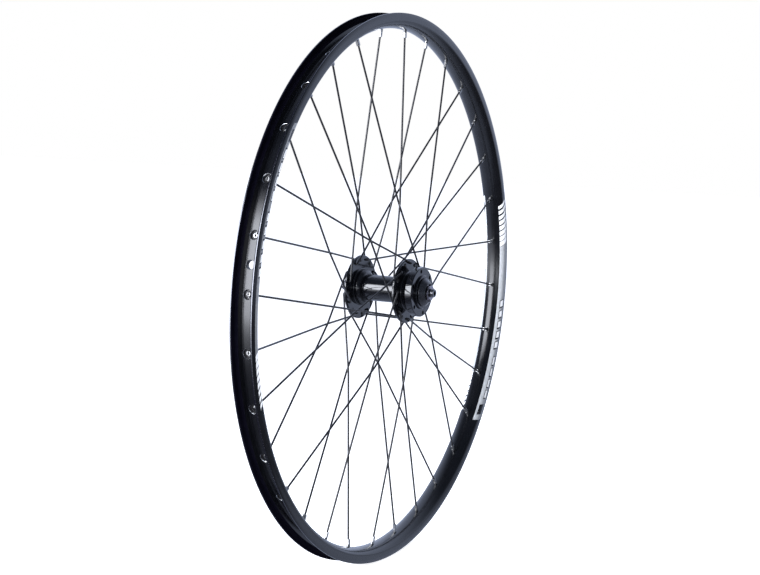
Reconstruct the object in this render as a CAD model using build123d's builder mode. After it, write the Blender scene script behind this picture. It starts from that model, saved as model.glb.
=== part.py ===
"""Bare 26-inch front bicycle wheel with a six-bolt disc hub, laced three-cross with 32 spokes.

The origin is the wheel's centre. The axle lies along Y with the disc side at +Y, +X points forwards
and +Z up. Angles round the wheel run from +X towards +Z.
"""

import os
from math import cos, radians, sin, sqrt

from build123d import *

# Rim section, in millimetres
RIM_RADIUS = 286.0
RIM_WIDTH = 25.0
FLANGE_HEIGHT = 6.5
FLANGE_WALL = 2.1
FLANK_HEIGHT = 4.7
FLANK_TAPER = 0.75
HOOK_DEPTH = 0.6
HOOK_HEIGHT = 2.4
TIP_ROUND = 0.55
WELL_DEPTH = 4.0
WELL_RAMP = 2.2
TYRE_BED_WALL = 1.3
CHAMBER_HEIGHT = 2.4
SPOKE_BED_WALL = 1.6
SPOKE_BED_CROWN = 6.0
SHOULDER_ROUND = 6.0
SIDE_WALL = 1.5
CHAMBER_SIDE_HEIGHT = 0.8

# Holes round the rim
SPOKE_COUNT = 32
FIRST_HOLE_ANGLE = 3.6
ACCESS_HOLE_DIAMETER = 9.0
ACCESS_HOLE_MARGIN = 0.4
VALVE_HOLE_DIAMETER = 8.5

# Nipples
NIPPLE_SHANK_DIAMETER = 4.0
NIPPLE_HEAD_DIAMETER = 5.9
NIPPLE_HEAD_HEIGHT = 3.0
NIPPLE_REACH = 9.0
NIPPLE_FLATS = 3.3
NIPPLE_FLATS_LENGTH = 5.5
NIPPLE_SLOT_WIDTH = 1.0
NIPPLE_SLOT_DEPTH = 1.0
NIPPLE_END_CHAMFER = 0.4
NIPPLE_SEAT_HEIGHT = 1.0
SEAT_CONE_ANGLE = 90.0
SEAT_CLEARANCE = 0.05
NIPPLE_HOLE_CLEARANCE = 0.15
THREAD_CLEARANCE = 0.04

# Spokes
SPOKE_DIAMETER = 2.0
SPOKE_HEAD_DIAMETER = 4.2
SPOKE_HEAD_HEIGHT = 1.2
SPOKE_HEAD_TAPER = 25.0
SPOKE_HEAD_ROOM = 1.2
SPOKE_HOLE_CLEARANCE = 0.3
ELBOW_RADIUS = 2.4
ELBOW_STANDOFF = 1.8
LACING_BEND_RADIUS = 60.0
LACING_CLEARANCE = 0.2
SPOKE_END_DEPTH = 1.6
CROSSES = 3

# Hub shell: distances along the axle are taken in from the locknuts' outer faces or from each other
DROPOUT_WIDTH = 100.0
DISC_FACE_INSET = 10.5
DISC_FLANGE_INSET = 17.2
PLAIN_END_INSET = 8.5
PLAIN_FLANGE_INSET = 8.1
DISC_BOLT_CIRCLE = 44.0
DISC_BOLT_COUNT = 6
DISC_BOLT_ANGLE = 20.4
DISC_BOLT_HOLE_DIAMETER = 4.2
DISC_MOUNT_MARGIN = 3.7
DISC_MOUNT_THICKNESS = 7.1
DRUM_MARGIN = 0.5
PILOT_MARGIN = 2.4
PILOT_HEIGHT = 2.0
FLANGE_THICKNESS = 2.8
FLANGE_MARGIN = 4.6
FLANGE_EDGE_ROUND = 1.0
FLANGE_BOSS_LENGTH = 7.7
FLANGE_BOSS_STEP = 5.0
FLANGE_BOSS_FOOT = 0.4
HUB_CORNER_ROUND = 1.2
BARREL_WALL = 4.7
PLAIN_END_WALL = 4.1
END_CHAMFER = 0.6
SHELL_BORE_RADIUS = 9.0

# Bearings
BALL_DIAMETER = 4.762
BALL_COUNT = 10
BALL_CIRCLE_RADIUS = 8.4
BALL_PLANE_INSET = 12.4
RACE_CLEARANCE = 0.03
CUP_WALL = 1.6
CUP_FLOOR = 1.5
CUP_LIP = 1.6
CUP_BORE_STEP = 1.8
CUP_PRESS_CLEARANCE = 0.03

# Axle and what is threaded on it
AXLE_DIAMETER = 9.0
AXLE_BORE_DIAMETER = 5.2
AXLE_END_LENGTH = 4.0
AXLE_CHAMFER = 0.5
THREAD_RELIEF_DEPTH = 0.5
THREAD_RELIEF_LENGTH = 1.0
CONE_NOSE = 1.8
CONE_NOSE_STEP = 3.0
CONE_SHOULDER_STEP = 0.9
CONE_SHOULDER_LENGTH = 3.4
CONE_FLATS_STEP = 1.8
LOCKNUT_FLATS = 15.0
LOCKNUT_THICKNESS = 4.0
LOCKNUT_CHAMFER = 0.5
WASHER_WALL = 3.7
WASHER_THICKNESS = 1.0
COVER_GAP = 0.4
COVER_WALL = 5.5
COVER_RIM_HEIGHT = 0.9
COVER_EDGE_ROUND = 0.4
COVER_END_WALL = 0.9
COVER_END_INSET = 2.4
COVER_SEAT_CLEARANCE = 0.03
COVER_LIP = 0.3

# Values that follow from those above
AXLE_AXIS = Vector(0, 1, 0)
HALF_WIDTH = RIM_WIDTH / 2
BEAD_SEAT_RADIUS = RIM_RADIUS - FLANGE_HEIGHT
WELL_RADIUS = BEAD_SEAT_RADIUS - WELL_DEPTH
WELL_WIDTH = ACCESS_HOLE_DIAMETER + 2 * ACCESS_HOLE_MARGIN
CHAMBER_CEILING = WELL_RADIUS - TYRE_BED_WALL
CHAMBER_FLOOR = CHAMBER_CEILING - CHAMBER_HEIGHT
SPOKE_BED_RADIUS = CHAMBER_FLOOR - SPOKE_BED_WALL
SHOULDER_RADIUS = SPOKE_BED_RADIUS + SPOKE_BED_CROWN
NIPPLE_SEAT_RADIUS = SPOKE_BED_RADIUS + NIPPLE_SEAT_HEIGHT
RIM_HOLE_PITCH = 360 / SPOKE_COUNT
FLANGE_HOLE_COUNT = SPOKE_COUNT // 2
FLANGE_HOLE_PITCH = 360 / FLANGE_HOLE_COUNT
VALVE_ANGLE = FIRST_HOLE_ANGLE + RIM_HOLE_PITCH / 2
SPOKE_RADIUS = SPOKE_DIAMETER / 2
SHANK_RADIUS = NIPPLE_SHANK_DIAMETER / 2
BALL_RADIUS = BALL_DIAMETER / 2
RACE_RADIUS = BALL_RADIUS + RACE_CLEARANCE
CUP_RADIUS = BALL_CIRCLE_RADIUS + RACE_RADIUS + CUP_WALL
CUP_BACK = RACE_RADIUS + CUP_FLOOR
CONE_SHOULDER_RADIUS = BALL_CIRCLE_RADIUS + CONE_SHOULDER_STEP
THREAD_RADIUS = AXLE_DIAMETER / 2
THREAD_BORE_RADIUS = THREAD_RADIUS + THREAD_CLEARANCE
DISC_MOUNT_RADIUS = DISC_BOLT_CIRCLE / 2 + DISC_MOUNT_MARGIN
DISC_BOLT_INNER_RADIUS = DISC_BOLT_CIRCLE / 2 - DISC_BOLT_HOLE_DIAMETER / 2
DRUM_RADIUS = DISC_BOLT_INNER_RADIUS - DRUM_MARGIN
PILOT_RADIUS = DISC_BOLT_INNER_RADIUS - PILOT_MARGIN
SPOKE_CIRCLE_RADIUS = DISC_MOUNT_RADIUS + SPOKE_HEAD_DIAMETER / 2 + SPOKE_HEAD_ROOM
FLANGE_RADIUS = SPOKE_CIRCLE_RADIUS + FLANGE_MARGIN
BARREL_RADIUS = SHELL_BORE_RADIUS + BARREL_WALL
FLANGE_BOSS_RADIUS = BARREL_RADIUS + FLANGE_BOSS_STEP
PLAIN_END_RADIUS = CUP_RADIUS + PLAIN_END_WALL
LOCKNUT_FACE_Y = DROPOUT_WIDTH / 2
WASHER_FACE_Y = LOCKNUT_FACE_Y - LOCKNUT_THICKNESS
CONE_END_Y = WASHER_FACE_Y - WASHER_THICKNESS
COVER_END_Y = LOCKNUT_FACE_Y - COVER_END_INSET
BALL_PLANE_Y = LOCKNUT_FACE_Y - BALL_PLANE_INSET
CONE_SHOULDER_Y = BALL_PLANE_Y + RACE_RADIUS + CONE_SHOULDER_LENGTH
DISC_FACE_Y = LOCKNUT_FACE_Y - DISC_FACE_INSET
DISC_END_Y = DISC_FACE_Y + PILOT_HEIGHT
DISC_FLANGE_Y = DISC_FACE_Y - DISC_FLANGE_INSET
PLAIN_END_Y = PLAIN_END_INSET - LOCKNUT_FACE_Y
PLAIN_FLANGE_Y = PLAIN_END_Y + PLAIN_FLANGE_INSET

os.makedirs("parts", exist_ok=True)


def outwards(angle):
    """Unit vector from the axle at an angle round the wheel."""
    return Vector(cos(radians(angle)), 0, sin(radians(angle)))


def across_radius(angle, radius):
    """Plane square to a radius of the wheel, with its normal pointing outwards."""
    return Plane(origin=outwards(angle) * radius, x_dir=AXLE_AXIS, z_dir=outwards(angle))


def across_axle(y):
    """Plane square to the axle, with local x and y along the wheel's X and Z."""
    return Plane(origin=(0, y, 0), x_dir=(1, 0, 0), z_dir=(0, -1, 0))


def point_at_angle(start, end, angle):
    """Point of a straight line that is seen from the axle at an angle round the wheel."""
    square = outwards(angle + 90)
    return start + (end - start) * (start.dot(square) / (start - end).dot(square))


class SpokeRoute:
    """Course of one spoke from its head in a hub flange to its seat in the rim."""

    def __init__(self, index):
        rim_angle = FIRST_HOLE_ANGLE + index * RIM_HOLE_PITCH
        on_disc_side = index % 2 == 0
        lean = 1 if index % 4 in (0, 3) else -1
        outer_side = 1 if on_disc_side else -1
        flange_y = DISC_FLANGE_Y if on_disc_side else PLAIN_FLANGE_Y
        # Spokes that lean back have their elbow outside the flange, and pass inside at the last crossing
        self.elbow_side = -lean * outer_side
        self.hub_angle = rim_angle - lean * CROSSES * FLANGE_HOLE_PITCH
        self.hole = outwards(self.hub_angle) * SPOKE_CIRCLE_RADIUS + AXLE_AXIS * flange_y
        self.seat = outwards(rim_angle) * NIPPLE_SEAT_RADIUS
        crossing_angle = rim_angle - lean * FLANGE_HOLE_PITCH / 2
        side_step = self.elbow_side * (SPOKE_DIAMETER + LACING_CLEARANCE) / 2
        self.crossing = point_at_angle(self.hole, self.seat, crossing_angle) - AXLE_AXIS * side_step
        self.elbow = self.hole + AXLE_AXIS * (self.elbow_side * self.elbow_offset())
        self.axis = (self.seat - self.crossing).normalized()
        self.head_seat = self.hole - AXLE_AXIS * (self.elbow_side * FLANGE_THICKNESS / 2)
        self.end = self.seat + self.axis * SPOKE_END_DEPTH

    def elbow_offset(self):
        """Distance from the flange's middle to the elbow, so that the wire clears the flange's edge."""
        run = self.crossing - self.hole
        run_flat = Vector(run.X, 0, run.Z)
        edge_radius = FLANGE_RADIUS - FLANGE_EDGE_ROUND
        along = Vector(self.hole.X, 0, self.hole.Z).dot(run_flat.normalized())
        off_line = SPOKE_CIRCLE_RADIUS ** 2 - along**2
        share = (sqrt(edge_radius**2 - off_line) - along) / run_flat.length
        beside_face = FLANGE_THICKNESS / 2 + SPOKE_RADIUS + LACING_CLEARANCE
        clear_of_edge = (beside_face - share * self.elbow_side * run.Y) / (1 - share)
        return max(clear_of_edge, FLANGE_THICKNESS / 2 + ELBOW_STANDOFF)

    def head_plane(self):
        """Plane of the flange face under the spoke's head, facing away from the flange."""
        return Plane(origin=self.head_seat, x_dir=(1, 0, 0), z_dir=AXLE_AXIS * -self.elbow_side)

    def nipple_plane(self, height=0.0):
        """Plane across the nipple at a height above its seat, with its normal pointing outwards."""
        return Plane(
            origin=self.seat + self.axis * height,
            x_dir=AXLE_AXIS.cross(self.axis).normalized(),
            z_dir=self.axis,
        )


routes = [SpokeRoute(index) for index in range(SPOKE_COUNT)]
rim_angles = [FIRST_HOLE_ANGLE + index * RIM_HOLE_PITCH for index in range(SPOKE_COUNT)]

# Rim: one box-section hoop, drawn with the radius along X and the axle along Y
flange_inside = HALF_WIDTH - FLANGE_WALL
tip_outside = HALF_WIDTH - FLANK_TAPER
flank_radius = RIM_RADIUS - FLANK_HEIGHT
well_edge = WELL_WIDTH / 2
with BuildPart() as rim:
    with BuildSketch():
        with BuildLine():
            Polyline(
                (WELL_RADIUS, 0),
                (WELL_RADIUS, well_edge),
                (BEAD_SEAT_RADIUS, well_edge + WELL_RAMP),
                (BEAD_SEAT_RADIUS, flange_inside),
                (RIM_RADIUS - HOOK_HEIGHT, flange_inside),
                (RIM_RADIUS - HOOK_HEIGHT / 2, flange_inside - HOOK_DEPTH),
                (RIM_RADIUS, flange_inside - HOOK_DEPTH),
                (RIM_RADIUS, tip_outside),
            )
            TangentArc((flank_radius, HALF_WIDTH), (RIM_RADIUS, tip_outside), tangent=(1, 0))
            Line((flank_radius, HALF_WIDTH), (SHOULDER_RADIUS, HALF_WIDTH))
            mirror(about=Plane.XZ)
            ThreePointArc(
                (SHOULDER_RADIUS, HALF_WIDTH),
                (SPOKE_BED_RADIUS, 0),
                (SHOULDER_RADIUS, -HALF_WIDTH),
            )
        rim_face = make_face()
        tips = rim_face.vertices().group_by(Axis.X)[-1]
        shoulders = [v for v in rim_face.vertices() if abs(v.X - SHOULDER_RADIUS) < TIP_ROUND / 2]
        fillet(tips, radius=TIP_ROUND)
        fillet(shoulders, radius=SHOULDER_ROUND)
        chamber_side = HALF_WIDTH - SIDE_WALL
        chamber_top = BEAD_SEAT_RADIUS - TYRE_BED_WALL
        chamber_shoulder = chamber_top - CHAMBER_SIDE_HEIGHT
        with BuildLine():
            Polyline(
                (CHAMBER_CEILING, 0),
                (CHAMBER_CEILING, well_edge + TYRE_BED_WALL / 2),
                (chamber_top, well_edge + WELL_RAMP + TYRE_BED_WALL / 2),
                (chamber_top, chamber_side),
                (chamber_shoulder, chamber_side),
            )
            mirror(about=Plane.XZ)
            ThreePointArc(
                (chamber_shoulder, chamber_side),
                (CHAMBER_FLOOR, 0),
                (chamber_shoulder, -chamber_side),
            )
        make_face(mode=Mode.SUBTRACT)
    revolve(axis=Axis.Y)
    with BuildSketch(across_radius(VALVE_ANGLE, SPOKE_BED_RADIUS - RIM_WIDTH)):
        Circle(VALVE_HOLE_DIAMETER / 2)
    extrude(amount=RIM_RADIUS - SPOKE_BED_RADIUS + RIM_WIDTH, mode=Mode.SUBTRACT)
    chamber_middle = (CHAMBER_FLOOR + CHAMBER_CEILING) / 2
    for angle in rim_angles:
        with BuildSketch(across_radius(angle, chamber_middle)):
            Circle(ACCESS_HOLE_DIAMETER / 2)
    extrude(amount=RIM_RADIUS - chamber_middle, mode=Mode.SUBTRACT)
    seat_width = NIPPLE_HEAD_DIAMETER / 2 + NIPPLE_HOLE_CLEARANCE
    seat_top = seat_width - SHANK_RADIUS - SEAT_CLEARANCE
    with Locations(*[Location(route.nipple_plane(seat_top)) for route in routes]):
        CounterSinkHole(
            radius=SHANK_RADIUS + NIPPLE_HOLE_CLEARANCE,
            counter_sink_radius=seat_width,
            depth=NIPPLE_HEAD_DIAMETER,
            counter_sink_angle=SEAT_CONE_ANGLE,
        )
rim.part.label = "rim"
export_step(rim.part, "parts/rim.step")

# Nipple: coned head with a driver slot, round shank and square flats, its seat at z = 0
head_radius = NIPPLE_HEAD_DIAMETER / 2
head_cone = head_radius - SHANK_RADIUS
with BuildPart() as nipple:
    with BuildSketch(Plane.XZ):
        with BuildLine():
            Polyline(
                (SPOKE_RADIUS + THREAD_CLEARANCE, -NIPPLE_REACH),
                (SHANK_RADIUS - NIPPLE_END_CHAMFER, -NIPPLE_REACH),
                (SHANK_RADIUS, NIPPLE_END_CHAMFER - NIPPLE_REACH),
                (SHANK_RADIUS, 0),
                (head_radius, head_cone),
                (head_radius, NIPPLE_HEAD_HEIGHT - head_cone),
                (SHANK_RADIUS, NIPPLE_HEAD_HEIGHT),
                (SPOKE_RADIUS + THREAD_CLEARANCE, NIPPLE_HEAD_HEIGHT),
                close=True,
            )
        make_face()
    revolve(axis=Axis.Z)
    with BuildSketch(Plane.XY.offset(-NIPPLE_REACH)):
        Circle(head_radius)
        Rectangle(NIPPLE_FLATS, NIPPLE_FLATS, mode=Mode.SUBTRACT)
    extrude(amount=NIPPLE_FLATS_LENGTH, mode=Mode.SUBTRACT)
    with BuildSketch(Plane.XY.offset(NIPPLE_HEAD_HEIGHT)):
        Rectangle(NIPPLE_HEAD_DIAMETER, NIPPLE_SLOT_WIDTH)
    extrude(amount=-NIPPLE_SLOT_DEPTH, mode=Mode.SUBTRACT)

# All nipples, each in line with the end of its own spoke
with BuildPart() as nipples:
    with Locations(*[Location(route.nipple_plane()) for route in routes]):
        add(nipple.part)
nipples.part.label = "nipples"
export_step(nipples.part, "parts/nipples.step")

# Spokes: round wire with a head, an elbow at the flange and a slight bend at the last crossing
for number, route in enumerate(routes, start=1):
    with BuildPart() as spoke:
        with BuildLine() as wire:
            FilletPolyline(
                route.head_seat,
                route.elbow,
                route.crossing,
                route.end,
                radius=[ELBOW_RADIUS, LACING_BEND_RADIUS],
            )
        with BuildSketch(Plane(origin=wire.line @ 0, z_dir=wire.line % 0)):
            Circle(SPOKE_RADIUS)
        sweep()
        with BuildSketch(route.head_plane()):
            Circle(SPOKE_HEAD_DIAMETER / 2)
        extrude(amount=SPOKE_HEAD_HEIGHT, taper=SPOKE_HEAD_TAPER)
    spoke.part.label = f"spoke_{number:02d}"
    export_step(spoke.part, f"parts/spoke_{number:02d}.step")

# Hub shell: turned barrel, two drilled flanges, and the drum and mount for the brake disc
half_flange = FLANGE_THICKNESS / 2
plain_inner_face = PLAIN_FLANGE_Y + half_flange
plain_boss_end = plain_inner_face + FLANGE_BOSS_LENGTH
disc_inner_face = DISC_FLANGE_Y - half_flange
disc_boss_end = disc_inner_face - FLANGE_BOSS_LENGTH
disc_outer_face = DISC_FLANGE_Y + half_flange
mount_back = DISC_FACE_Y - DISC_MOUNT_THICKNESS
boss_round = FLANGE_BOSS_STEP - FLANGE_BOSS_FOOT
cup_seat_radius = CUP_RADIUS + CUP_PRESS_CLEARANCE
cup_seat_y = BALL_PLANE_Y - CUP_BACK
with BuildPart() as hub_shell:
    with BuildSketch():
        with BuildLine():
            Polyline(
                (cup_seat_radius, PLAIN_END_Y),
                (PLAIN_END_RADIUS - END_CHAMFER, PLAIN_END_Y),
                (PLAIN_END_RADIUS, PLAIN_END_Y + END_CHAMFER),
                (PLAIN_END_RADIUS, PLAIN_FLANGE_Y - half_flange),
                (FLANGE_RADIUS, PLAIN_FLANGE_Y - half_flange),
                (FLANGE_RADIUS, plain_inner_face),
            )
            FilletPolyline(
                (FLANGE_RADIUS, plain_inner_face),
                (FLANGE_BOSS_RADIUS, plain_inner_face),
                (FLANGE_BOSS_RADIUS, plain_boss_end),
                (BARREL_RADIUS, plain_boss_end),
                radius=[HUB_CORNER_ROUND, boss_round],
            )
            Line((BARREL_RADIUS, plain_boss_end), (BARREL_RADIUS, disc_boss_end))
            FilletPolyline(
                (BARREL_RADIUS, disc_boss_end),
                (FLANGE_BOSS_RADIUS, disc_boss_end),
                (FLANGE_BOSS_RADIUS, disc_inner_face),
                (FLANGE_RADIUS, disc_inner_face),
                radius=[boss_round, HUB_CORNER_ROUND],
            )
            Line((FLANGE_RADIUS, disc_inner_face), (FLANGE_RADIUS, disc_outer_face))
            FilletPolyline(
                (FLANGE_RADIUS, disc_outer_face),
                (DRUM_RADIUS, disc_outer_face),
                (DRUM_RADIUS, mount_back),
                (DISC_MOUNT_RADIUS, mount_back),
                radius=HUB_CORNER_ROUND,
            )
            Polyline(
                (DISC_MOUNT_RADIUS, mount_back),
                (DISC_MOUNT_RADIUS, DISC_FACE_Y - END_CHAMFER),
                (DISC_MOUNT_RADIUS - END_CHAMFER, DISC_FACE_Y),
                (PILOT_RADIUS, DISC_FACE_Y),
                (PILOT_RADIUS, DISC_END_Y - END_CHAMFER),
                (PILOT_RADIUS - END_CHAMFER, DISC_END_Y),
                (cup_seat_radius, DISC_END_Y),
                (cup_seat_radius, cup_seat_y),
                (SHELL_BORE_RADIUS, cup_seat_y),
                (SHELL_BORE_RADIUS, -cup_seat_y),
                (cup_seat_radius, -cup_seat_y),
                (cup_seat_radius, PLAIN_END_Y),
            )
        shell_face = make_face()
        fillet(shell_face.vertices().group_by(Axis.X)[-1], radius=FLANGE_EDGE_ROUND)
    revolve(axis=Axis.Y)
    for flange_y in (DISC_FLANGE_Y, PLAIN_FLANGE_Y):
        hub_angle = next(route.hub_angle for route in routes if route.hole.Y == flange_y)
        with BuildSketch(across_axle(flange_y)):
            with PolarLocations(SPOKE_CIRCLE_RADIUS, FLANGE_HOLE_COUNT, start_angle=hub_angle):
                Circle(SPOKE_RADIUS + SPOKE_HOLE_CLEARANCE)
    extrude(amount=FLANGE_THICKNESS, both=True, mode=Mode.SUBTRACT)
    with BuildSketch(across_axle(DISC_FACE_Y)):
        with PolarLocations(DISC_BOLT_CIRCLE / 2, DISC_BOLT_COUNT, start_angle=DISC_BOLT_ANGLE):
            Circle(DISC_BOLT_HOLE_DIAMETER / 2)
    extrude(amount=DISC_MOUNT_THICKNESS + HUB_CORNER_ROUND, mode=Mode.SUBTRACT)
hub_shell.part.label = "hub_shell"
export_step(hub_shell.part, "parts/hub_shell.step")

# Axle: hollow for a quick-release skewer, with a thread relief inside each locknut and plain ends beyond
thread_end = LOCKNUT_FACE_Y - THREAD_RELIEF_LENGTH
relief_radius = THREAD_RADIUS - THREAD_RELIEF_DEPTH
axle_end_y = LOCKNUT_FACE_Y + AXLE_END_LENGTH
axle_bore_radius = AXLE_BORE_DIAMETER / 2
with BuildPart() as axle:
    with BuildSketch():
        with BuildLine():
            Polyline(
                (axle_bore_radius, 0),
                (axle_bore_radius, axle_end_y),
                (THREAD_RADIUS - AXLE_CHAMFER, axle_end_y),
                (THREAD_RADIUS, axle_end_y - AXLE_CHAMFER),
                (THREAD_RADIUS, LOCKNUT_FACE_Y),
                (relief_radius, LOCKNUT_FACE_Y),
                (relief_radius, thread_end),
                (THREAD_RADIUS, thread_end),
                (THREAD_RADIUS, 0),
            )
            mirror(about=Plane.XZ)
        make_face()
    revolve(axis=Axis.Y)
axle.part.label = "axle"
export_step(axle.part, "parts/axle.step")

# Bearings and end fittings, the same on both sides: each profile is drawn at +Y and mirrored for -Y
for side, end in (("left", 1), ("right", -1)):
    ball_y = end * BALL_PLANE_Y
    cup_front = end * (BALL_PLANE_Y + CUP_LIP)
    cup_back = end * (BALL_PLANE_Y - CUP_BACK)
    cup_floor = end * (BALL_PLANE_Y - RACE_RADIUS)
    race_mouth = BALL_CIRCLE_RADIUS + RACE_RADIUS
    race_root = BALL_CIRCLE_RADIUS - RACE_RADIUS
    race_side = RACE_RADIUS * sin(radians(45))
    cup_bore = BALL_CIRCLE_RADIUS - CUP_BORE_STEP
    cone_nose_radius = BALL_CIRCLE_RADIUS - CONE_NOSE_STEP
    cone_flats_radius = CONE_SHOULDER_RADIUS - CONE_FLATS_STEP

    # Cup: hardened ring pressed into the shell, with a quarter-round race facing outwards
    with BuildPart() as cup:
        with BuildSketch():
            with BuildLine():
                ThreePointArc(
                    (BALL_CIRCLE_RADIUS, cup_floor),
                    (BALL_CIRCLE_RADIUS + race_side, ball_y - end * race_side),
                    (race_mouth, ball_y),
                )
                Polyline(
                    (race_mouth, ball_y),
                    (race_mouth, cup_front),
                    (CUP_RADIUS, cup_front),
                    (CUP_RADIUS, cup_back),
                    (cup_bore, cup_back),
                    (cup_bore, cup_floor),
                    (BALL_CIRCLE_RADIUS, cup_floor),
                )
            make_face()
        revolve(axis=Axis.Y)
    cup.part.label = f"bearing_cup_{side}"
    export_step(cup.part, f"parts/bearing_cup_{side}.step")

    # Cone: threaded on the axle, with a quarter-round race facing the cup and a shoulder for the cover
    with BuildPart() as cone:
        with BuildSketch():
            with BuildLine():
                ThreePointArc(
                    (race_root, ball_y),
                    (BALL_CIRCLE_RADIUS - race_side, ball_y + end * race_side),
                    (BALL_CIRCLE_RADIUS, ball_y + end * RACE_RADIUS),
                )
                Polyline(
                    (BALL_CIRCLE_RADIUS, ball_y + end * RACE_RADIUS),
                    (CONE_SHOULDER_RADIUS, ball_y + end * RACE_RADIUS),
                    (CONE_SHOULDER_RADIUS, end * CONE_SHOULDER_Y),
                    (cone_flats_radius, end * CONE_SHOULDER_Y),
                    (cone_flats_radius, end * CONE_END_Y),
                    (THREAD_BORE_RADIUS, end * CONE_END_Y),
                    (THREAD_BORE_RADIUS, ball_y - end * CONE_NOSE),
                    (cone_nose_radius, ball_y - end * CONE_NOSE),
                    (race_root, ball_y),
                )
            make_face()
        revolve(axis=Axis.Y)
    cone.part.label = f"cone_{side}"
    export_step(cone.part, f"parts/cone_{side}.step")

    # Balls: one full row, loose between cup and cone
    with BuildPart() as balls:
        with Locations(across_axle(ball_y)):
            with PolarLocations(BALL_CIRCLE_RADIUS, BALL_COUNT):
                Sphere(BALL_RADIUS)
    balls.part.label = f"balls_{side}"
    export_step(balls.part, f"parts/balls_{side}.step")

    # Dust cover: tapered ring seated on the cone, clear of the turning shell
    cover_start = (DISC_END_Y if end > 0 else -PLAIN_END_Y) + COVER_GAP
    cover_seat = CONE_SHOULDER_RADIUS + COVER_SEAT_CLEARANCE
    cover_lip = CONE_SHOULDER_RADIUS - COVER_LIP
    with BuildPart() as cover:
        with BuildSketch():
            with BuildLine():
                Polyline(
                    (cover_seat, end * cover_start),
                    (CONE_SHOULDER_RADIUS + COVER_WALL, end * cover_start),
                    (CONE_SHOULDER_RADIUS + COVER_WALL, end * (cover_start + COVER_RIM_HEIGHT)),
                    (cover_lip + COVER_END_WALL, end * COVER_END_Y),
                    (cover_lip, end * COVER_END_Y),
                    (cover_lip, end * CONE_SHOULDER_Y),
                    (cover_seat, end * CONE_SHOULDER_Y),
                    close=True,
                )
            cover_face = make_face()
            fillet(cover_face.vertices().group_by(Axis.X)[-1], radius=COVER_EDGE_ROUND)
        revolve(axis=Axis.Y)
    cover.part.label = f"dust_cover_{side}"
    export_step(cover.part, f"parts/dust_cover_{side}.step")

    # Lock washer between cone and locknut
    with BuildPart() as washer:
        with BuildSketch(across_axle(end * CONE_END_Y)):
            Circle(THREAD_RADIUS + WASHER_WALL)
            Circle(THREAD_BORE_RADIUS, mode=Mode.SUBTRACT)
        extrude(amount=-end * WASHER_THICKNESS)
    washer.part.label = f"lock_washer_{side}"
    export_step(washer.part, f"parts/lock_washer_{side}.step")

    # Locknut: hexagon whose outer face bears on the fork end
    with BuildPart() as locknut:
        with BuildSketch(across_axle(end * WASHER_FACE_Y)):
            RegularPolygon(LOCKNUT_FLATS / 2, 6, major_radius=False)
        extrude(amount=-end * LOCKNUT_THICKNESS)
        with BuildSketch():
            with BuildLine():
                corner_radius = LOCKNUT_FLATS / 2 / cos(radians(30))
                face_radius = LOCKNUT_FLATS / 2 - LOCKNUT_CHAMFER
                face_step = (corner_radius - face_radius) / 2
                Polyline(
                    (face_radius, end * LOCKNUT_FACE_Y),
                    (corner_radius, end * LOCKNUT_FACE_Y),
                    (corner_radius, end * (LOCKNUT_FACE_Y - face_step)),
                    close=True,
                )
            make_face()
        revolve(axis=Axis.Y, mode=Mode.SUBTRACT)
        with BuildSketch(across_axle(end * WASHER_FACE_Y)):
            Circle(THREAD_BORE_RADIUS)
        extrude(amount=-end * LOCKNUT_THICKNESS, mode=Mode.SUBTRACT)
    locknut.part.label = f"locknut_{side}"
    export_step(locknut.part, f"parts/locknut_{side}.step")
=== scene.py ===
"""Looks of a bare front bicycle wheel: gloss black rim and hub, black spokes, bright nipples.

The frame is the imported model's: origin at the wheel's centre, axle along Y with the disc side at +Y,
+X forwards, +Z up. Angles are given in degrees, and round the wheel they run from +X towards +Z. The
wheel's sizes and the places of camera and floor are in millimetres, and MM takes them to metres. The
lights, the zones of the floor and the height of a bump are in metres.
"""

from collections import namedtuple
from math import acos, asin, atan2, cos, hypot, pi, radians, sin, sqrt, tan

import bmesh
import bpy
from mathutils import Matrix, Vector


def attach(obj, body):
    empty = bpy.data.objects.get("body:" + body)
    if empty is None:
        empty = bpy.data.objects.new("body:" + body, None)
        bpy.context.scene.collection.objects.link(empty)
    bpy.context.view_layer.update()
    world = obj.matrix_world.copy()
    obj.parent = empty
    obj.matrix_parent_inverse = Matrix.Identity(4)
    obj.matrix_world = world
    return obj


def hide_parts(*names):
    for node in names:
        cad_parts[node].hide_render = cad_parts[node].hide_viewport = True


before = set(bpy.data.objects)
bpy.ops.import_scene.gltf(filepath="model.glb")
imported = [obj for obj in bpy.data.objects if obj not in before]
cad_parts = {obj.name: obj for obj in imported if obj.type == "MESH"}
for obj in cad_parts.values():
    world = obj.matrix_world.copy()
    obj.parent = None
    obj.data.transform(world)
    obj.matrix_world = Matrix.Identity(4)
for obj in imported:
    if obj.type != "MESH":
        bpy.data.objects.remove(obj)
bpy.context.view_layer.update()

MM = 0.001
SMOOTH_ANGLE = 30

# Holes round the rim
SPOKE_COUNT = 32
FIRST_HOLE = 3.6
HOLE_PITCH = 360 / SPOKE_COUNT
VALVE_ANGLE = FIRST_HOLE + HOLE_PITCH / 2
ACCESS_HOLE_RADIUS = 4.5
ACCESS_HOLE_MARGIN = 0.4
VALVE_HOLE_RADIUS = 4.25
HOLE_SIDES = 40
VALVE_DRILL_START = 262.0
DRILL_END = 290.0
DEBURR_WIDTH = 0.35
DEBURR_LIFT = 0.05
DEBURR_END = 277.0
ACCESS_DEBURR_OVERLAP = 0.1
VALVE_DEBURR_OVERLAP = 0.05

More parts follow.
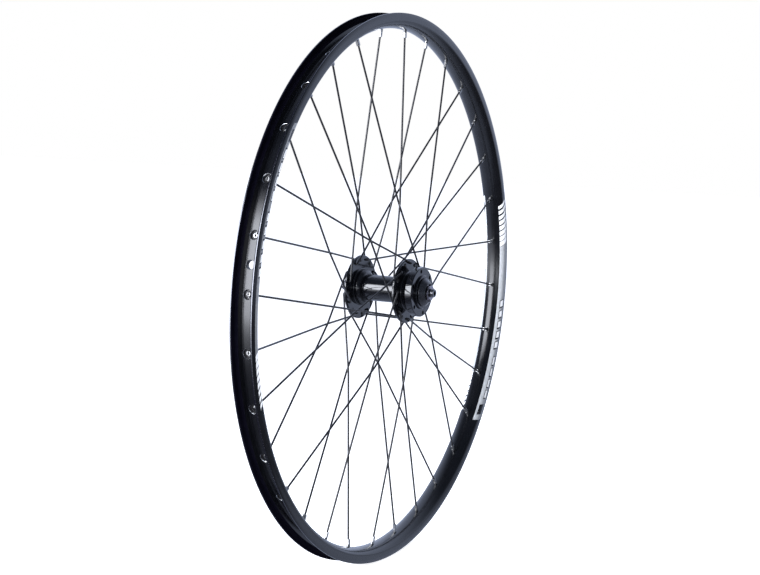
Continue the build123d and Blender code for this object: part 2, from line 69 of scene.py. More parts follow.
# Rim section: the solid's sizes, with the tips set a little inside them
RIM_RADIUS = 286.0
TIP_INSET = 0.03
RIM_WIDTH = 25.0
FLANGE_HEIGHT = 6.5
FLANGE_WALL = 2.1
FLANK_HEIGHT = 4.7
FLANK_TAPER = 0.75
HOOK_DEPTH = 0.6
HOOK_HEIGHT = 2.4
WELL_DEPTH = 4.0
WELL_RAMP = 2.2
TYRE_BED_WALL = 1.3
CHAMBER_HEIGHT = 2.4
CHAMBER_SIDE_HEIGHT = 0.8
CHAMBER_FLOOR = ((274.0, 7.4), (272.3, 3.7))
SIDE_WALL = 1.5
SPOKE_BED_WALL = 1.6
BED_CROWN = 6.0
SHOULDER_ROUND = 6.0
TIP_MIDDLE = 10.7
TIP_ROUND = 0.55
HOOK_ROUND = 0.3
SEAT_ROUND = 0.25
CHAMBER_ROUND = 0.3

# Places in the section: radii, distances from the rim's middle plane, and a swing in radians
HALF_WIDTH = RIM_WIDTH / 2
TIP_RADIUS = RIM_RADIUS - TIP_INSET
TIP_OUTSIDE = HALF_WIDTH - FLANK_TAPER
FLANK_RADIUS = RIM_RADIUS - FLANK_HEIGHT
FLANGE_INSIDE = HALF_WIDTH - FLANGE_WALL
HOOK_INSIDE = FLANGE_INSIDE - HOOK_DEPTH
SEAT_RADIUS = RIM_RADIUS - FLANGE_HEIGHT
WELL_RADIUS = SEAT_RADIUS - WELL_DEPTH
WELL_INSIDE = ACCESS_HOLE_RADIUS + ACCESS_HOLE_MARGIN
WELL_OUTSIDE = WELL_INSIDE + WELL_RAMP
CHAMBER_TOP = SEAT_RADIUS - TYRE_BED_WALL
CHAMBER_WELL = WELL_RADIUS - TYRE_BED_WALL
CHAMBER_BOTTOM = CHAMBER_WELL - CHAMBER_HEIGHT
CHAMBER_MIDDLE = CHAMBER_WELL - CHAMBER_HEIGHT / 2
CHAMBER_INSIDE = WELL_INSIDE + TYRE_BED_WALL / 2
CHAMBER_OUTSIDE = CHAMBER_INSIDE + WELL_RAMP
CHAMBER_SIDE = HALF_WIDTH - SIDE_WALL
BED_RADIUS = CHAMBER_BOTTOM - SPOKE_BED_WALL
BED_ARC = (HALF_WIDTH**2 + BED_CROWN**2) / (2 * BED_CROWN)
BED_CENTRE = BED_RADIUS + BED_ARC
SHOULDER_Y = HALF_WIDTH - SHOULDER_ROUND
SHOULDER_START = BED_CENTRE - sqrt((BED_ARC - SHOULDER_ROUND) ** 2 - SHOULDER_Y**2)
SHOULDER_SWING = atan2(BED_CENTRE - SHOULDER_START, SHOULDER_Y)

# Steps of the rim's mesh, and the limits of the faces that have a material of their own
RIM_STEPS = 400
ROUND_STEPS = 4
ROUND_SUPPORT = 0.12
CHAMBER_ROUND_STEPS = 1
FLANK_STEPS = 6
SHOULDER_STEPS = 10
TIP_SLOT = 1
TIP_FACE_DEPTH = 0.12
SEAT_SLOT = 2
SEAT_FACE_DEPTH = 0.2
SEAT_FACE_INSIDE = 7.0

# Print: angles from a band's own zero, depths along the rim's outside from the top of its flat wall
Field = namedtuple("Field", "start end top bottom slant lift curl")
DashRow = namedtuple("DashRow", "count first pitch length top bottom slant")
BAND_OFFSETS = {"left": 0.0, "right": 19.5}
BAND_LEAD = -7.6
BAND_TAIL = 37.4
BAND_BOTTOM = 10.7
BAND_SLANT = 1.5
BAND_CURL = 0.65
BAND_LIFT = 0.03
BAR_COUNT = 8
BAR_PITCH = 1.32
BAR_FIRST_GAP = 0.11
BAR_GAP_STEP = 0.055
BAR_LIFT = 0.04
DASH_ROWS = (
    DashRow(count=5, first=7.0, pitch=2.6, length=1.5, top=1.9, bottom=6.6, slant=0.45),
    DashRow(count=4, first=21.4, pitch=2.9, length=1.9, top=2.5, bottom=5.0, slant=0.2),
)
DASH_LIFT = 0.08
OUTLINE_ANGLE = 0.3
OUTLINE_DEPTH = 0.8
OUTLINE_SLANT = 0.15
OUTLINE_LIFT = 0.055
STRAIGHT = 1.0
BLOCK = Field(start=33.6, end=36.4, top=1.6, bottom=8.2, slant=0.8, lift=OUTLINE_LIFT, curl=STRAIGHT)
PRINT_ROW = 0.34
PRINT_COLUMN = 0.69

# Axle: the solid's sizes, with thread ridges on its bare ends
AXLE_HALF_LENGTH = 54.0
AXLE_RADIUS = 4.5
AXLE_BORE_RADIUS = 2.6
AXLE_END_RADIUS = 4.0
AXLE_CHAMFER_RADIUS = 4.3
AXLE_CHAMFER_LENGTH = 0.4
AXLE_NECK_START = 49.0
AXLE_NECK_END = 50.0
AXLE_STEPS = 64
RIDGE_COUNT = 4
RIDGE_START = 50.1
RIDGE_PITCH = 0.86
RIDGE_ROOT = 4.08
RIDGE_CREST = 4.48
RIDGE_FLANK = 0.3
RIDGE_FLAT = 0.15

# Camera, fitted to the rim and hub of the photo
CAMERA_AZIMUTH = 117.551
CAMERA_ELEVATION = 6.198
CAMERA_ROLL = 1.990
CAMERA_DISTANCE = 1681.107
CAMERA_SHIFT_LEFT = 8.82
CAMERA_SHIFT_UP = 1.4
FOCAL_PIXELS = 1602.4
PICTURE_PIXELS = 760
SENSOR_WIDTH = 36.0
CLIP_START = 0.05
CLIP_END = 60.0

# Studio: colours, ways across the floor, and the limits between which one look fades into another
COOL_TINT = (0.89, 0.92, 1.0)
BLUE_TINT = (0.8, 0.9, 1.0)
WHITE = (1, 1, 1)
PALE = (0.6, 0.69, 0.93)
ROOM_DARK = (0.065, 0.08, 0.11)
ROOM_EDGE = (-0.6, 0.1)
ROOM_STRENGTH = 1.4
FLOOR_SPAN = 9000
FLOOR_HEIGHT = -286.6
FLOOR_COLOUR = (0.9, 0.9, 0.9)
FLOOR_ROUGHNESS = 0.9
FLOOR_EMISSION = 0.86
# Painted shade and a painted pool of light on the floor, seen only in reflections
FLOOR_PAINTED_SHADE = (0.1, 0.11, 0.145)
FLOOR_PAINTED_LIGHT = (3.7, 3.85, 4.2)
FRONT_WAY = (0.75, 0.66, 0)
FRONT_EDGE = (0.09, 0.2)
FRONT_REACH = (1.6, 0.9)
DISC_WAY = (0.6, 0.8, 0)
DISC_EDGE = (-0.4, 0.1)
DISC_NEAR = (0.25, 0.5)
DISC_REACH = (3.2, 2.0)
LIGHT_WAY = (0.86, -0.51, 0)
LIGHT_EDGE = (0.5, 1.8)

# Materials: noise, bump, and the film's painted light, painted shade on the flat wall and a painted
# highlight on the shoulder, with the drop in radius over which they fade
NOISE_LOW = 0.3
NOISE_HIGH = 0.7
CLOUD_DETAIL = 4.0
FINE_DETAIL = 2.0
BUMP_HEIGHT = 0.0002
FILM_PAINTED_SHADE = 0.6
FILM_PAINTED_HIGHLIGHT = 1.55
FILM_PAINTED_LIGHT_DROP = 4.4

# Colour sockets of the Mix node, which has a set of sockets for each kind of data
MIX_FIRST = 6
MIX_SECOND = 7
MIX_RESULT = 2


# Meshes
def wheel_point(angle, radius=1.0, y=0.0):
    """Point at a wheel angle, radius and axle position."""
    a = radians(angle)
    return Vector((radius * cos(a), y, radius * sin(a)))


def new_object(name, verts, faces, materials):
    """Mesh object from millimetre points, with sharp edges where faces meet at a wide angle."""
    mesh = bpy.data.meshes.new(name)
    mesh.from_pydata([tuple(c * MM for c in v) for v in verts], [], faces)
    mesh.validate()
    bm = bmesh.new()
    bm.from_mesh(mesh)
    bmesh.ops.recalc_face_normals(bm, faces=bm.faces)
    bm.to_mesh(mesh)
    bm.free()
    mesh.shade_smooth()
    mesh.set_sharp_from_angle(angle=radians(SMOOTH_ANGLE))
    for material in materials:
        mesh.materials.append(material)
    obj = bpy.data.objects.new(name, mesh)
    bpy.context.scene.collection.objects.link(obj)
    return obj


def rounded(corners, steps):
    """Points of a closed outline with its corners (x, y, radius) rounded, and points beside each round."""
    points = []
    count = len(corners)
    for i, (x, y, radius) in enumerate(corners):
        here = Vector((x, y))
        if radius <= 0:
            points.append((x, y))
            continue
        before = (Vector(corners[i - 1][:2]) - here).normalized()
        after = (Vector(corners[(i + 1) % count][:2]) - here).normalized()
        half = acos(max(-1.0, min(1.0, before.dot(after)))) / 2
        reach = radius / tan(half)
        centre = here + (before + after).normalized() * (radius / sin(half))
        first = here + before * reach - centre
        last = here + after * reach - centre
        sweep = first.angle_signed(last)
        points.append(tuple(here + before * (reach + ROUND_SUPPORT)))
        for k in range(steps + 1):
            turn = -sweep * k / steps
            x_turned = first.x * cos(turn) - first.y * sin(turn)
            y_turned = first.x * sin(turn) + first.y * cos(turn)
            points.append(tuple(centre + Vector((x_turned, y_turned))))
        points.append(tuple(here + after * (reach + ROUND_SUPPORT)))
    return points


def lathe(name, outlines, steps, materials):
    """Closed outlines (radius, y) turned about the axle."""
    verts, faces = [], []
    for outline in outlines:
        start, count = len(verts), len(outline)
        for j in range(steps):
            angle = 360 * j / steps
            verts += [wheel_point(angle, r, y) for r, y in outline]
        for j in range(steps):
            here, there = start + j * count, start + (j + 1) % steps * count
            for i in range(count):
                k = (i + 1) % count
                faces.append((here + i, here + k, there + k, there + i))
    return new_object(name, verts, faces, materials)


def round_tool(verts, faces, axis, sections):
    """Adds a closed round solid on an axis from the wheel's centre, with sections (distance, radius)."""
    start = len(verts)
    u = axis.orthogonal().normalized()
    w = axis.cross(u).normalized()
    for distance, radius in sections:
        for k in range(HOLE_SIDES):
            a = 2 * pi * k / HOLE_SIDES
            verts.append(axis * distance + (u * cos(a) + w * sin(a)) * radius)
    for j in range(len(sections) - 1):
        ring = start + j * HOLE_SIDES
        for k in range(HOLE_SIDES):
            a, b = ring + k, ring + (k + 1) % HOLE_SIDES
            faces.append((a, b, b + HOLE_SIDES, a + HOLE_SIDES))
    last = start + (len(sections) - 1) * HOLE_SIDES
    faces.append(tuple(range(start + HOLE_SIDES - 1, start - 1, -1)))
    faces.append(tuple(range(last, last + HOLE_SIDES)))


def cut(obj, cutter):
    """Cuts the cutter out of obj; the walls of the cut take the cutter's material."""
    change = obj.modifiers.new("holes", "BOOLEAN")
    change.operation = "DIFFERENCE"
    change.solver = "EXACT"
    change.object = cutter
    change.material_mode = "TRANSFER"
    graph = bpy.context.evaluated_depsgraph_get()
    mesh = bpy.data.meshes.new_from_object(obj.evaluated_get(graph))
    obj.modifiers.clear()
    obj.data = mesh
    mesh.name = obj.name
    mesh.shade_smooth()
    mesh.set_sharp_from_angle(angle=radians(SMOOTH_ANGLE))
    bpy.data.objects.remove(cutter)


# Material nodes
def node(tree, kind, inputs=None, **settings):
    """New node with its settings; each input, by name or number, gets a value or a link from a socket."""
    made = tree.nodes.new(kind)
    for key, value in settings.items():
        setattr(made, key, value)
    for key, value in (inputs or {}).items():
        if isinstance(value, bpy.types.NodeSocket):
            tree.links.new(value, made.inputs[key])
        else:
            made.inputs[key].default_value = value
    return made


def fade(tree, value, start, end):
    """Smooth step from 0 at start to 1 at end."""
    inputs = {"Value": value, "From Min": start, "From Max": end}
    return node(tree, "ShaderNodeMapRange", inputs, interpolation_type="SMOOTHSTEP").outputs["Result"]


def product(tree, one, other):
    """Two values multiplied."""
    return node(tree, "ShaderNodeMath", {0: one, 1: other}, operation="MULTIPLY").outputs["Value"]


def along(tree, vector, way):
    """How far a vector goes along a way."""
    return node(tree, "ShaderNodeVectorMath", {0: vector, 1: way}, operation="DOT_PRODUCT").outputs["Value"]


def length(tree, vector):
    """Length of a vector."""
    return node(tree, "ShaderNodeVectorMath", {0: vector}, operation="LENGTH").outputs["Value"]


def ramp(tree, value, first, last, start=0.0, end=1.0):
    """Colour that goes from first to last as a value goes from start to end."""
    made = node(tree, "ShaderNodeValToRGB", {"Fac": value})
    low, high = made.color_ramp.elements
    low.position = start
    low.color = (*first, 1)
    high.position = end
    high.color = (*last, 1)
    return made.outputs["Color"]


def by_ray(tree, kind, others, these):
    """Shader that one kind of ray sees as these and all other rays see as others."""
    path = node(tree, "ShaderNodeLightPath")
    return node(tree, "ShaderNodeMixShader", {0: path.outputs[kind], 1: others, 2: these}).outputs["Shader"]


def place(tree):
    """Place on the object, in metres."""
    return node(tree, "ShaderNodeTexCoord").outputs["Object"]


def grain(tree, scale, detail):
    """Noise that is fixed to the object."""
    inputs = {"Vector": place(tree), "Scale": scale, "Detail": detail}
    return node(tree, "ShaderNodeTexNoise", inputs).outputs["Fac"]


def spread(tree, value, low, high):
    """Takes the used range of a noise to low..high."""
    inputs = {"Value": value, "From Min": NOISE_LOW, "From Max": NOISE_HIGH, "To Min": low, "To Max": high}
    return node(tree, "ShaderNodeMapRange", inputs).outputs["Result"]


def principled(tree):
    """The Principled surface of a material's tree."""
    return next(n for n in tree.nodes if n.type == "BSDF_PRINCIPLED")


def shader(name):
    """New material, with its node tree and its Principled surface."""
    material = bpy.data.materials.new(name)
    material.use_nodes = True
    return material, material.node_tree, principled(material.node_tree)


def finish(name, dark, light, rough, cloud, bump, metal=0.0, fine=2500, ior=1.5):
    """Surface with cloudy colour and roughness and a fine bump."""
    material, tree, surface = shader(name)
    cloudy = grain(tree, cloud, CLOUD_DETAIL)
    tree.links.new(ramp(tree, cloudy, dark, light, NOISE_LOW, NOISE_HIGH), surface.inputs["Base Color"])
    tree.links.new(spread(tree, cloudy, *rough), surface.inputs["Roughness"])
    surface.inputs["Metallic"].default_value = metal
    surface.inputs["IOR"].default_value = ior
    inputs = {"Strength": bump, "Distance": BUMP_HEIGHT, "Height": grain(tree, fine, FINE_DETAIL)}
    relief = node(tree, "ShaderNodeBump", inputs)
    tree.links.new(relief.outputs["Normal"], surface.inputs["Normal"])
    return material


def paint_shoulder_light(material, outer, inner, grey, pale):
    """Scales a material's colour as painted light: by grey outside the outer radius for painted shade on
    the flat wall, by pale inside the inner one for a painted highlight on the shoulder.
    """
    tree = material.node_tree
    colour = principled(tree).inputs["Base Color"]
    flat = node(tree, "ShaderNodeVectorMath", {0: place(tree), 1: (1, 0, 1)}, operation="MULTIPLY")
    share = fade(tree, length(tree, flat.outputs["Vector"]), outer * MM, inner * MM)
    level = node(tree, "ShaderNodeMapRange", {"Value": share, "To Min": grey, "To Max": pale})
    inputs = {0: colour.links[0].from_socket, "Scale": level.outputs["Result"]}
    scaled = node(tree, "ShaderNodeVectorMath", inputs, operation="SCALE")
    tree.links.new(scaled.outputs["Vector"], colour)


# Materials of the rim
rim_black = finish(
    "rim_black",
    dark=(0.0022, 0.0024, 0.0034),
    light=(0.0036, 0.0039, 0.0054),
    rough=(0.15, 0.2),
    cloud=60,
    bump=0.012,
    ior=1.47,
)
seat_matt = finish(
    "rim_seat",
    dark=(0.0028, 0.0026, 0.006),
    light=(0.0042, 0.0039, 0.0085),
    rough=(0.35, 0.45),
    cloud=60,
    bump=0.03,
    ior=1.05,
)
hole_dark = finish(
    "rim_hole",
    dark=(0.01, 0.01, 0.012),
    light=(0.03, 0.03, 0.034),
    rough=(0.3, 0.45),
    cloud=900,
    bump=0.1,
    fine=6000,
)
tip_edge = finish(
    "rim_tip",
    dark=(0.09, 0.092, 0.1),
    light=(0.13, 0.133, 0.145),
    rough=(0.2, 0.3),
    cloud=900,
    bump=0.05,
    metal=1.0,
    fine=6000,
)
bare_edge = finish(
    "rim_bare_edge",
    dark=(0.6, 0.61, 0.63),
    light=(0.8, 0.81, 0.83),
    rough=(0.2, 0.35),
    cloud=900,
    bump=0.1,
    metal=1.0,
    fine=6000,
)

# Materials of the spokes, nipples and hub
spoke_black = finish(
    "spoke_black",
    dark=(0.008, 0.008, 0.009),
    light=(0.016, 0.016, 0.018),
    rough=(0.24, 0.36),
    cloud=700,
    bump=0.05,
)
nickel = finish(
    "nipple_nickel",
    dark=(0.3, 0.3, 0.3),
    light=(0.4, 0.4, 0.4),
    rough=(0.24, 0.36),
    cloud=900,
    bump=0.05,
    metal=1.0,
    fine=7000,
)
hub_black = finish(
    "hub_black",
    dark=(0.0018, 0.002, 0.003),
    light=(0.0032, 0.0035, 0.005),
    rough=(0.06, 0.1),
    cloud=150,
    bump=0.01,
    ior=1.62,
)
dark_steel = finish(
    "axle_steel",
    dark=(0.2, 0.2, 0.215),
    light=(0.32, 0.32, 0.335),
    rough=(0.25, 0.4),
    cloud=900,
    bump=0.1,
    metal=1.0,
    fine=6000,
)
zinc = finish(
    "locknut_zinc",
    dark=(0.25, 0.235, 0.26),
    light=(0.36, 0.335, 0.37),
    rough=(0.18, 0.3),
    cloud=500,
    bump=0.08,
    metal=1.0,
    fine=5000,
)
ground_steel = finish(
    "bearing_steel",
    dark=(0.5, 0.5, 0.51),
    light=(0.66, 0.66, 0.67),
    rough=(0.1, 0.2),
    cloud=700,
    bump=0.05,
    metal=1.0,
    fine=8000,
)
rubber = finish(
    "cover_rubber",
    dark=(0.008, 0.009, 0.012),
    light=(0.014, 0.0155, 0.02),
    rough=(0.16, 0.24),
    cloud=500,
    bump=0.06,
    fine=5000,
)

# Materials of the print
film = finish(
    "print_silver",
    dark=(0.35, 0.36, 0.37),
    light=(0.43, 0.44, 0.45),
    rough=(0.3, 0.4),
    cloud=300,
    bump=0.02,
    metal=0.3,
    fine=4000,
)
# Painted shade on the film's flat wall and a painted highlight on its shoulder, scaled into the print's
# colour
paint_shoulder_light(film, SHOULDER_START, SHOULDER_START - FILM_PAINTED_LIGHT_DROP, FILM_PAINTED_SHADE, FILM_PAINTED_HIGHLIGHT)
ink = finish(
    "print_white",
    dark=(0.84, 0.85, 0.86),
    light=(0.9, 0.905, 0.91),
    rough=(0.22, 0.3),
    cloud=300,
    bump=0.02,
    fine=4000,
)
dark_ink = finish(
    "print_black",
    dark=(0.006, 0.006, 0.008),
    light=(0.012, 0.012, 0.015),
    rough=(0.2, 0.3),
    cloud=300,
    bump=0.02,
    fine=4000,
)

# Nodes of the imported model
node_looks = {"rim": rim_black, "nipples": nickel, "hub_shell": hub_black, "axle": dark_steel}
for number in range(1, SPOKE_COUNT + 1):
    node_looks[f"spoke_{number:02d}"] = spoke_black
for end in ("left", "right"):
    node_looks[f"bearing_cup_{end}"] = ground_steel
    node_looks[f"cone_{end}"] = ground_steel
    node_looks[f"balls_{end}"] = ground_steel
    node_looks[f"dust_cover_{end}"] = rubber
    node_looks[f"lock_washer_{end}"] = zinc
    node_looks[f"locknut_{end}"] = zinc
for name, material in node_looks.items():
    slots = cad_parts[name].data.materials
    for index in range(len(slots)):
        slots[index] = material


# Rim: the same section as the solid, with fine steps and small rounds on its edges
def tyre_side():
    """Corners (radius, y, round) from the well over the seat and the hook to the tip's outer edge."""
    return [
        (WELL_RADIUS, WELL_INSIDE, SEAT_ROUND),
        (SEAT_RADIUS, WELL_OUTSIDE, SEAT_ROUND),
        (SEAT_RADIUS, FLANGE_INSIDE, SEAT_ROUND),
        (TIP_RADIUS - HOOK_HEIGHT, FLANGE_INSIDE, HOOK_ROUND),
        (TIP_RADIUS - HOOK_HEIGHT / 2, HOOK_INSIDE, HOOK_ROUND),
        (TIP_RADIUS, HOOK_INSIDE, TIP_ROUND),
        (TIP_RADIUS, TIP_MIDDLE, 0),
        (TIP_RADIUS, TIP_OUTSIDE, TIP_ROUND),
    ]


def flank():
    """Points of the bulged flank from below the tip down to the flat wall."""
    rise = TIP_RADIUS - FLANK_RADIUS
    bulge = (rise**2 + FLANK_TAPER**2) / (2 * FLANK_TAPER)
    angles = [asin(rise / bulge) * (1 - k / FLANK_STEPS) for k in range(1, FLANK_STEPS + 1)]
    return [(FLANK_RADIUS + bulge * sin(a), HALF_WIDTH - bulge * (1 - cos(a)), 0) for a in angles]


def shoulder():
    """Points of the round from the side wall to the spoke bed, then the bed's arc short of its middle."""
    points = []
    for k in range(SHOULDER_STEPS + 1):
        a = SHOULDER_SWING * k / SHOULDER_STEPS
        points.append((SHOULDER_START - SHOULDER_ROUND * sin(a), SHOULDER_Y + SHOULDER_ROUND * cos(a), 0))
    for k in range(1, SHOULDER_STEPS):
        a = (pi / 2 - SHOULDER_SWING) * (1 - k / SHOULDER_STEPS)
        points.append((BED_CENTRE - BED_ARC * cos(a), BED_ARC * sin(a), 0))
    return points


def chamber():
    """Corners of the hollow chamber from under the well round its side to short of its floor's middle."""
    return [
        (CHAMBER_WELL, CHAMBER_INSIDE, CHAMBER_ROUND),
        (CHAMBER_TOP, CHAMBER_OUTSIDE, CHAMBER_ROUND),
        (CHAMBER_TOP, CHAMBER_SIDE, CHAMBER_ROUND),
        (CHAMBER_TOP - CHAMBER_SIDE_HEIGHT, CHAMBER_SIDE, 0),
        *((r, y, 0) for r, y in CHAMBER_FLOOR),
    ]


def both_sides(half, middle):
    """Closed outline from its +Y half, a middle point and the same half mirrored."""
    return half + [(middle, 0, 0)] + [(r, -y, c) for r, y, c in reversed(half)]


def add_hole(bores, cones, angle, radius, start, overlap):
    """Adds a bore from a start radius outwards, and the cone that deburrs its edge in the tyre well."""
    axis = wheel_point(angle)
    round_tool(*bores, axis, [(start, radius), (DRILL_END, radius)])
    wide = radius + DEBURR_WIDTH + DEBURR_LIFT
    cone = [
        (WELL_RADIUS - DEBURR_WIDTH - overlap, radius - overlap),
        (WELL_RADIUS + DEBURR_LIFT, wide),
        (DEBURR_END, wide),
    ]
    round_tool(*cones, axis, cone)


def rim_hoop():
    """The drilled hoop, with materials of their own on its tips, on its seats and at its holes."""
    outlines = [
        rounded(both_sides(tyre_side() + flank() + shoulder(), BED_RADIUS), ROUND_STEPS),
        rounded(both_sides(chamber(), CHAMBER_BOTTOM), CHAMBER_ROUND_STEPS),
    ]
    hoop = lathe("rim_hoop", outlines, RIM_STEPS, [rim_black, tip_edge, seat_matt])
    for face in hoop.data.polygons:
        radius = hypot(face.center.x, face.center.z) / MM
        y = abs(face.center.y) / MM
        if radius > TIP_RADIUS - TIP_FACE_DEPTH and y > TIP_MIDDLE:
            face.material_index = TIP_SLOT
        elif radius > SEAT_RADIUS - SEAT_FACE_DEPTH and SEAT_FACE_INSIDE < y < TIP_MIDDLE:
            face.material_index = SEAT_SLOT
    bores = ([], [])
    cones = ([], [])
    for index in range(SPOKE_COUNT):
        angle = FIRST_HOLE + index * HOLE_PITCH
        add_hole(bores, cones, angle, ACCESS_HOLE_RADIUS, CHAMBER_MIDDLE, ACCESS_DEBURR_OVERLAP)
    add_hole(bores, cones, VALVE_ANGLE, VALVE_HOLE_RADIUS, VALVE_DRILL_START, VALVE_DEBURR_OVERLAP)
    cut(hoop, new_object("rim_drill", *bores, [hole_dark]))
    cut(hoop, new_object("rim_deburr", *cones, [bare_edge]))
    return hoop


rim = rim_hoop()
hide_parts("rim")
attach(rim, "wheel")


# Printed bands on both side walls, from the flat wall round the shoulder to the edge of the spoke bed
def wall_point(depth, lift):
    """(radius, y) at a depth along the rim's outside from the top of its flat wall, lifted off it."""
    wall = FLANK_RADIUS - SHOULDER_START
    bend = SHOULDER_ROUND * SHOULDER_SWING
    if depth < wall:
        return FLANK_RADIUS - depth, HALF_WIDTH + lift
    if depth < wall + bend:
        a = (depth - wall) / SHOULDER_ROUND
        reach = SHOULDER_ROUND + lift
        return SHOULDER_START - reach * sin(a), SHOULDER_Y + reach * cos(a)
    a = pi / 2 - SHOULDER_SWING - (depth - wall - bend) / BED_ARC
    reach = BED_ARC + lift
    return BED_CENTRE - reach * cos(a), reach * sin(a)


def add_field(verts, faces, side, base, field):
    """Adds a field of print to one side, with its angles counted from base."""
    span = field.end - field.start
    height = field.bottom - field.top
    rows = max(int(height / PRINT_ROW), 1)
    columns = max(int(abs(span) / PRINT_COLUMN), 1)
    first = len(verts)
    for i in range(rows + 1):
        radius, y = wall_point(field.top + height * i / rows, field.lift)
        shift = field.slant * (i / rows) ** field.curl
        for j in range(columns + 1):
            angle = field.start + shift + span * j / columns
            verts.append(wheel_point(base + side * angle, radius, side * y))
    for i in range(rows):
        for j in range(columns):
            a = first + i * (columns + 1) + j
            faces.append((a, a + 1, a + columns + 2, a + columns + 1))


def bar_fields():
    """Bars that follow on from the band's leading end, with gaps that widen."""
    fields = []
    for k in range(BAR_COUNT):
        start = BAND_LEAD - BAR_PITCH * k - BAR_FIRST_GAP - BAR_GAP_STEP * k
        end = BAND_LEAD - BAR_PITCH * (k + 1)
        fields.append(Field(start, end, 0, BAND_BOTTOM, BAND_SLANT, BAR_LIFT, BAND_CURL))
    return fields


def dash_fields(lift, angle=0.0, depth=0.0, slant=0.0):
    """The dashes of every row, grown at both ends by an angle and a depth, and leaning more by a slant."""
    fields = []
    for row in DASH_ROWS:
        top, bottom = row.top - depth, row.bottom + depth
        for k in range(row.count):
            start = row.first + row.pitch * k - angle
            end = row.first + row.pitch * k + row.length + angle
            fields.append(Field(start, end, top, bottom, row.slant + slant, lift, STRAIGHT))
    return fields


def print_piece(name, side, base, fields, material):
    """One printed piece from its fields."""
    verts, faces = [], []
    for field in fields:
        add_field(verts, faces, side, base, field)
    piece = new_object(name, verts, faces, [material])
    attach(piece, "wheel")


band = Field(BAND_LEAD, BAND_TAIL, 0, BAND_BOTTOM, BAND_SLANT, BAND_LIFT, BAND_CURL)
marks = bar_fields() + dash_fields(DASH_LIFT)
edges = dash_fields(OUTLINE_LIFT, OUTLINE_ANGLE, OUTLINE_DEPTH, OUTLINE_SLANT) + [BLOCK]
for side_name, side in (("left", 1), ("right", -1)):
    for half_name, half_turn in (("front", 0), ("rear", 180)):
        base = BAND_OFFSETS[side_name] + half_turn
        print_piece(f"band_{side_name}_{half_name}", side, base, [band], film)
        print_piece(f"print_{side_name}_{half_name}", side, base, marks, ink)
        print_piece(f"edges_{side_name}_{half_name}", side, base, edges, dark_ink)


# Axle: as the solid, with thread ridges on its bare ends
def axle_half():
    """Points of the axle's +Y half from its bore's end over the ridges to its full radius."""
    ridges = []
    for k in range(RIDGE_COUNT):
        root = RIDGE_START + RIDGE_PITCH * k
        crest = root + RIDGE_FLANK
        ridges.append((RIDGE_ROOT, root))
        ridges.append((RIDGE_CREST, crest))
        ridges.append((RIDGE_CREST, crest + RIDGE_FLAT))
        ridges.append((RIDGE_ROOT, crest + RIDGE_FLAT + RIDGE_FLANK))
    return [
        (AXLE_BORE_RADIUS, AXLE_HALF_LENGTH),
        (AXLE_END_RADIUS, AXLE_HALF_LENGTH),
        (AXLE_CHAMFER_RADIUS, AXLE_HALF_LENGTH - AXLE_CHAMFER_LENGTH),
        *reversed(ridges),
        (AXLE_END_RADIUS, AXLE_NECK_END),
        (AXLE_END_RADIUS, AXLE_NECK_START),
        (AXLE_RADIUS, AXLE_NECK_START),
    ]


axle_outline = axle_half() + [(r, -y) for r, y in reversed(axle_half())]
thread = lathe("axle_turned", [axle_outline], AXLE_STEPS, [dark_steel])
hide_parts("axle")
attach(thread, "axle_set")


# Camera
def camera_ways():
    """Unit vectors from the wheel back to the camera, and to its right and its top before it is rolled."""
    azimuth = radians(CAMERA_AZIMUTH)
    elevation = radians(CAMERA_ELEVATION)
    back = Vector((sin(azimuth) * cos(elevation), -cos(azimuth) * cos(elevation), sin(elevation)))
    right = Vector((cos(azimuth), sin(azimuth), 0))
    return back, right, back.cross(right)


def add_camera():
    """The camera, rolled about its own view."""
    back, right, up = camera_ways()
    roll = radians(CAMERA_ROLL)
    across = right * cos(roll) + up * sin(roll)
    upright = up * cos(roll) - right * sin(roll)
    stand = (back * CAMERA_DISTANCE - right * CAMERA_SHIFT_LEFT + up * CAMERA_SHIFT_UP) * MM
    camera = bpy.data.objects.new("camera", bpy.data.cameras.new("camera"))
    camera.data.sensor_width = SENSOR_WIDTH
    camera.data.lens = FOCAL_PIXELS / PICTURE_PIXELS * SENSOR_WIDTH
    camera.data.clip_start = CLIP_START
    camera.data.clip_end = CLIP_END
    camera.matrix_world = Matrix(
        (
            (across.x, upright.x, back.x, stand.x),
            (across.y, upright.y, back.y, stand.y),
            (across.z, upright.z, back.z, stand.z),
            (0, 0, 0, 1),
        )
    )
    bpy.context.scene.collection.objects.link(camera)
    bpy.context.scene.camera = camera


add_camera()


# Studio: soft boxes, a bright backdrop behind the wheel, a dark room behind the camera, a white floor
def softbox(name, angle, height, distance, width, tall, power, tint=WHITE):
    """Area light at an angle from +X towards +Y and an elevation, facing the wheel's centre."""
    light = bpy.data.lights.new(name, "AREA")
    light.shape = "RECTANGLE"
    light.size = width
    light.size_y = tall
    light.energy = power
    light.color = tint
    obj = bpy.data.objects.new(name, light)
    a, e = radians(angle), radians(height)
    spot = Vector((cos(a) * cos(e), sin(a) * cos(e), sin(e))) * distance
    obj.location = spot
    obj.rotation_euler = (-spot).to_track_quat("-Z", "Y").to_euler()
    obj.visible_camera = False
    bpy.context.scene.collection.objects.link(obj)
    return obj


softbox("side_box", angle=-31, height=12.6, distance=1.7, width=1.25, tall=0.84, power=22, tint=COOL_TINT)
softbox("side_glow", angle=-31, height=7, distance=1.75, width=1.4, tall=1.6, power=40, tint=COOL_TINT)
softbox("front_box", angle=12, height=-3, distance=2.3, width=1.7, tall=0.7, power=4, tint=BLUE_TINT)
fill = softbox("fill_box", angle=20, height=20, distance=2.0, width=1.5, tall=1.5, power=21)
fill.visible_glossy = False


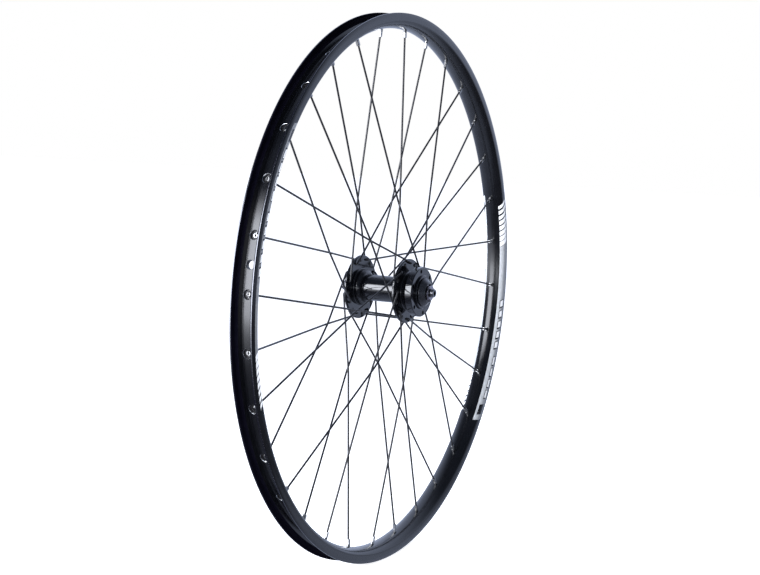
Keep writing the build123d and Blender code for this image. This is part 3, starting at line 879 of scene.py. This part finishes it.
def add_world():
    """White to the camera; all other rays see the pale backdrop and the dark room, fixed in the world."""
    world = bpy.data.worlds.new("studio")
    bpy.context.scene.world = world
    world.use_nodes = True
    tree = world.node_tree
    tree.nodes.clear()
    back = camera_ways()[0]
    facing = node(tree, "ShaderNodeTexCoord").outputs["Generated"]
    share = fade(tree, along(tree, facing, tuple(back)), *ROOM_EDGE)
    shade = ramp(tree, share, PALE, ROOM_DARK)
    room = node(tree, "ShaderNodeBackground", {"Color": shade, "Strength": ROOM_STRENGTH})
    white = node(tree, "ShaderNodeBackground", {"Color": (*WHITE, 1), "Strength": 1.0})
    shown = by_ray(tree, "Is Camera Ray", room.outputs["Background"], white.outputs["Background"])
    node(tree, "ShaderNodeOutputWorld", {"Surface": shown})


def floor_paint():
    """White; reflections see it pale, with painted shade in front and on the disc side and a painted pool
    of light towards the side light.
    """
    material, tree, surface = shader("floor_paint")
    surface.inputs["Base Color"].default_value = (*FLOOR_COLOUR, 1)
    surface.inputs["Roughness"].default_value = FLOOR_ROUGHNESS
    surface.inputs["Emission Color"].default_value = (*WHITE, 1)
    surface.inputs["Emission Strength"].default_value = FLOOR_EMISSION
    spot = place(tree)
    distance = length(tree, spot)
    front = fade(tree, along(tree, spot, FRONT_WAY), *FRONT_EDGE)
    front = product(tree, front, fade(tree, distance, *FRONT_REACH))
    disc_side = fade(tree, along(tree, spot, DISC_WAY), *DISC_EDGE)
    disc_side = product(tree, disc_side, fade(tree, distance, *DISC_NEAR))
    disc_side = product(tree, disc_side, fade(tree, distance, *DISC_REACH))
    # Painted shade in front and on the disc side, and a painted pool of light towards the side light, as an
    # emission that only reflections see
    painted_shade = node(tree, "ShaderNodeMath", {0: front, 1: disc_side}, operation="MAXIMUM").outputs["Value"]
    painted_light = fade(tree, along(tree, spot, LIGHT_WAY), *LIGHT_EDGE)
    inputs = {0: painted_light, MIX_FIRST: ramp(tree, painted_shade, PALE, FLOOR_PAINTED_SHADE), MIX_SECOND: (*FLOOR_PAINTED_LIGHT, 1)}
    colour = node(tree, "ShaderNodeMix", inputs, data_type="RGBA").outputs[MIX_RESULT]
    mirrored = node(tree, "ShaderNodeEmission", {"Color": colour, "Strength": 1.0}).outputs["Emission"]
    result = next(n for n in tree.nodes if n.type == "OUTPUT_MATERIAL")
    look = by_ray(tree, "Is Glossy Ray", surface.outputs["BSDF"], mirrored)
    tree.links.new(look, result.inputs["Surface"])
    return material


add_world()
corners = [
    (-FLOOR_SPAN, -FLOOR_SPAN, FLOOR_HEIGHT),
    (FLOOR_SPAN, -FLOOR_SPAN, FLOOR_HEIGHT),
    (FLOOR_SPAN, FLOOR_SPAN, FLOOR_HEIGHT),
    (-FLOOR_SPAN, FLOOR_SPAN, FLOOR_HEIGHT),
]
floor = new_object("floor", corners, [(0, 1, 2, 3)], [floor_paint()])

bpy.context.scene.view_settings.view_transform = "Standard"
